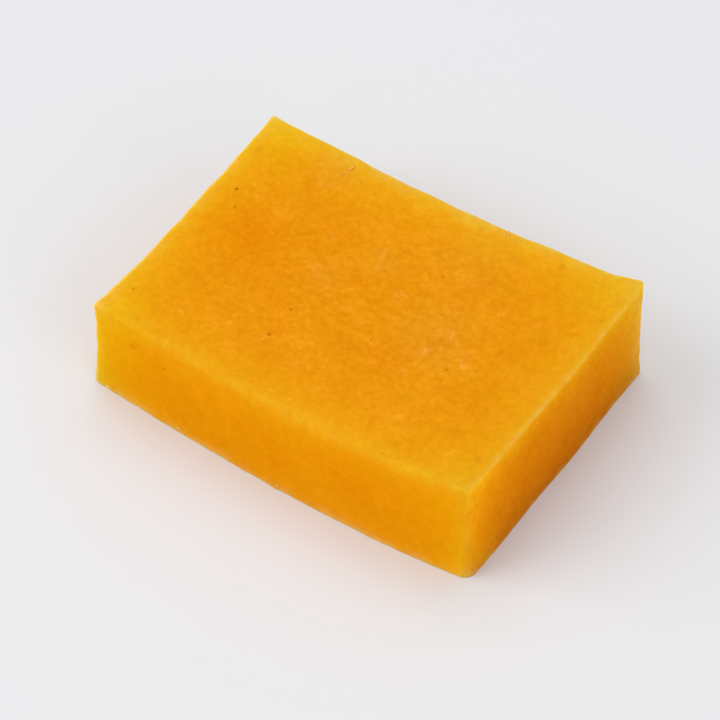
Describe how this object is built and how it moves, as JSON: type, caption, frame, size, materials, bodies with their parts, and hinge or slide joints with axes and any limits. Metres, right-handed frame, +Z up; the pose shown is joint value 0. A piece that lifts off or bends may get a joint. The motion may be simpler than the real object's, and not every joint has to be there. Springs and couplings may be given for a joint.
{
  "type": "yokan",
  "caption": "Hand-cut rectangular slab of firm yellow-orange jelled sweet, with soft top edges, a slightly dipped top, bowed long sides and a flat foot to lie on.",
  "frame": {"origin": "under the middle of the slab's own box, on the surface that it lies on", "axes": "+X along the long sides towards the crisp-cut end, +Y towards the back long side, +Z up through the thickness"},
  "size_m": [0.087, 0.0634, 0.0249],
  "materials": {
    "jelly": "satin, slightly translucent, finely grained set jelly"
  },
  "bodies": {
    "root": {"yokan": "jelly"}
  },
  "joints": []
}
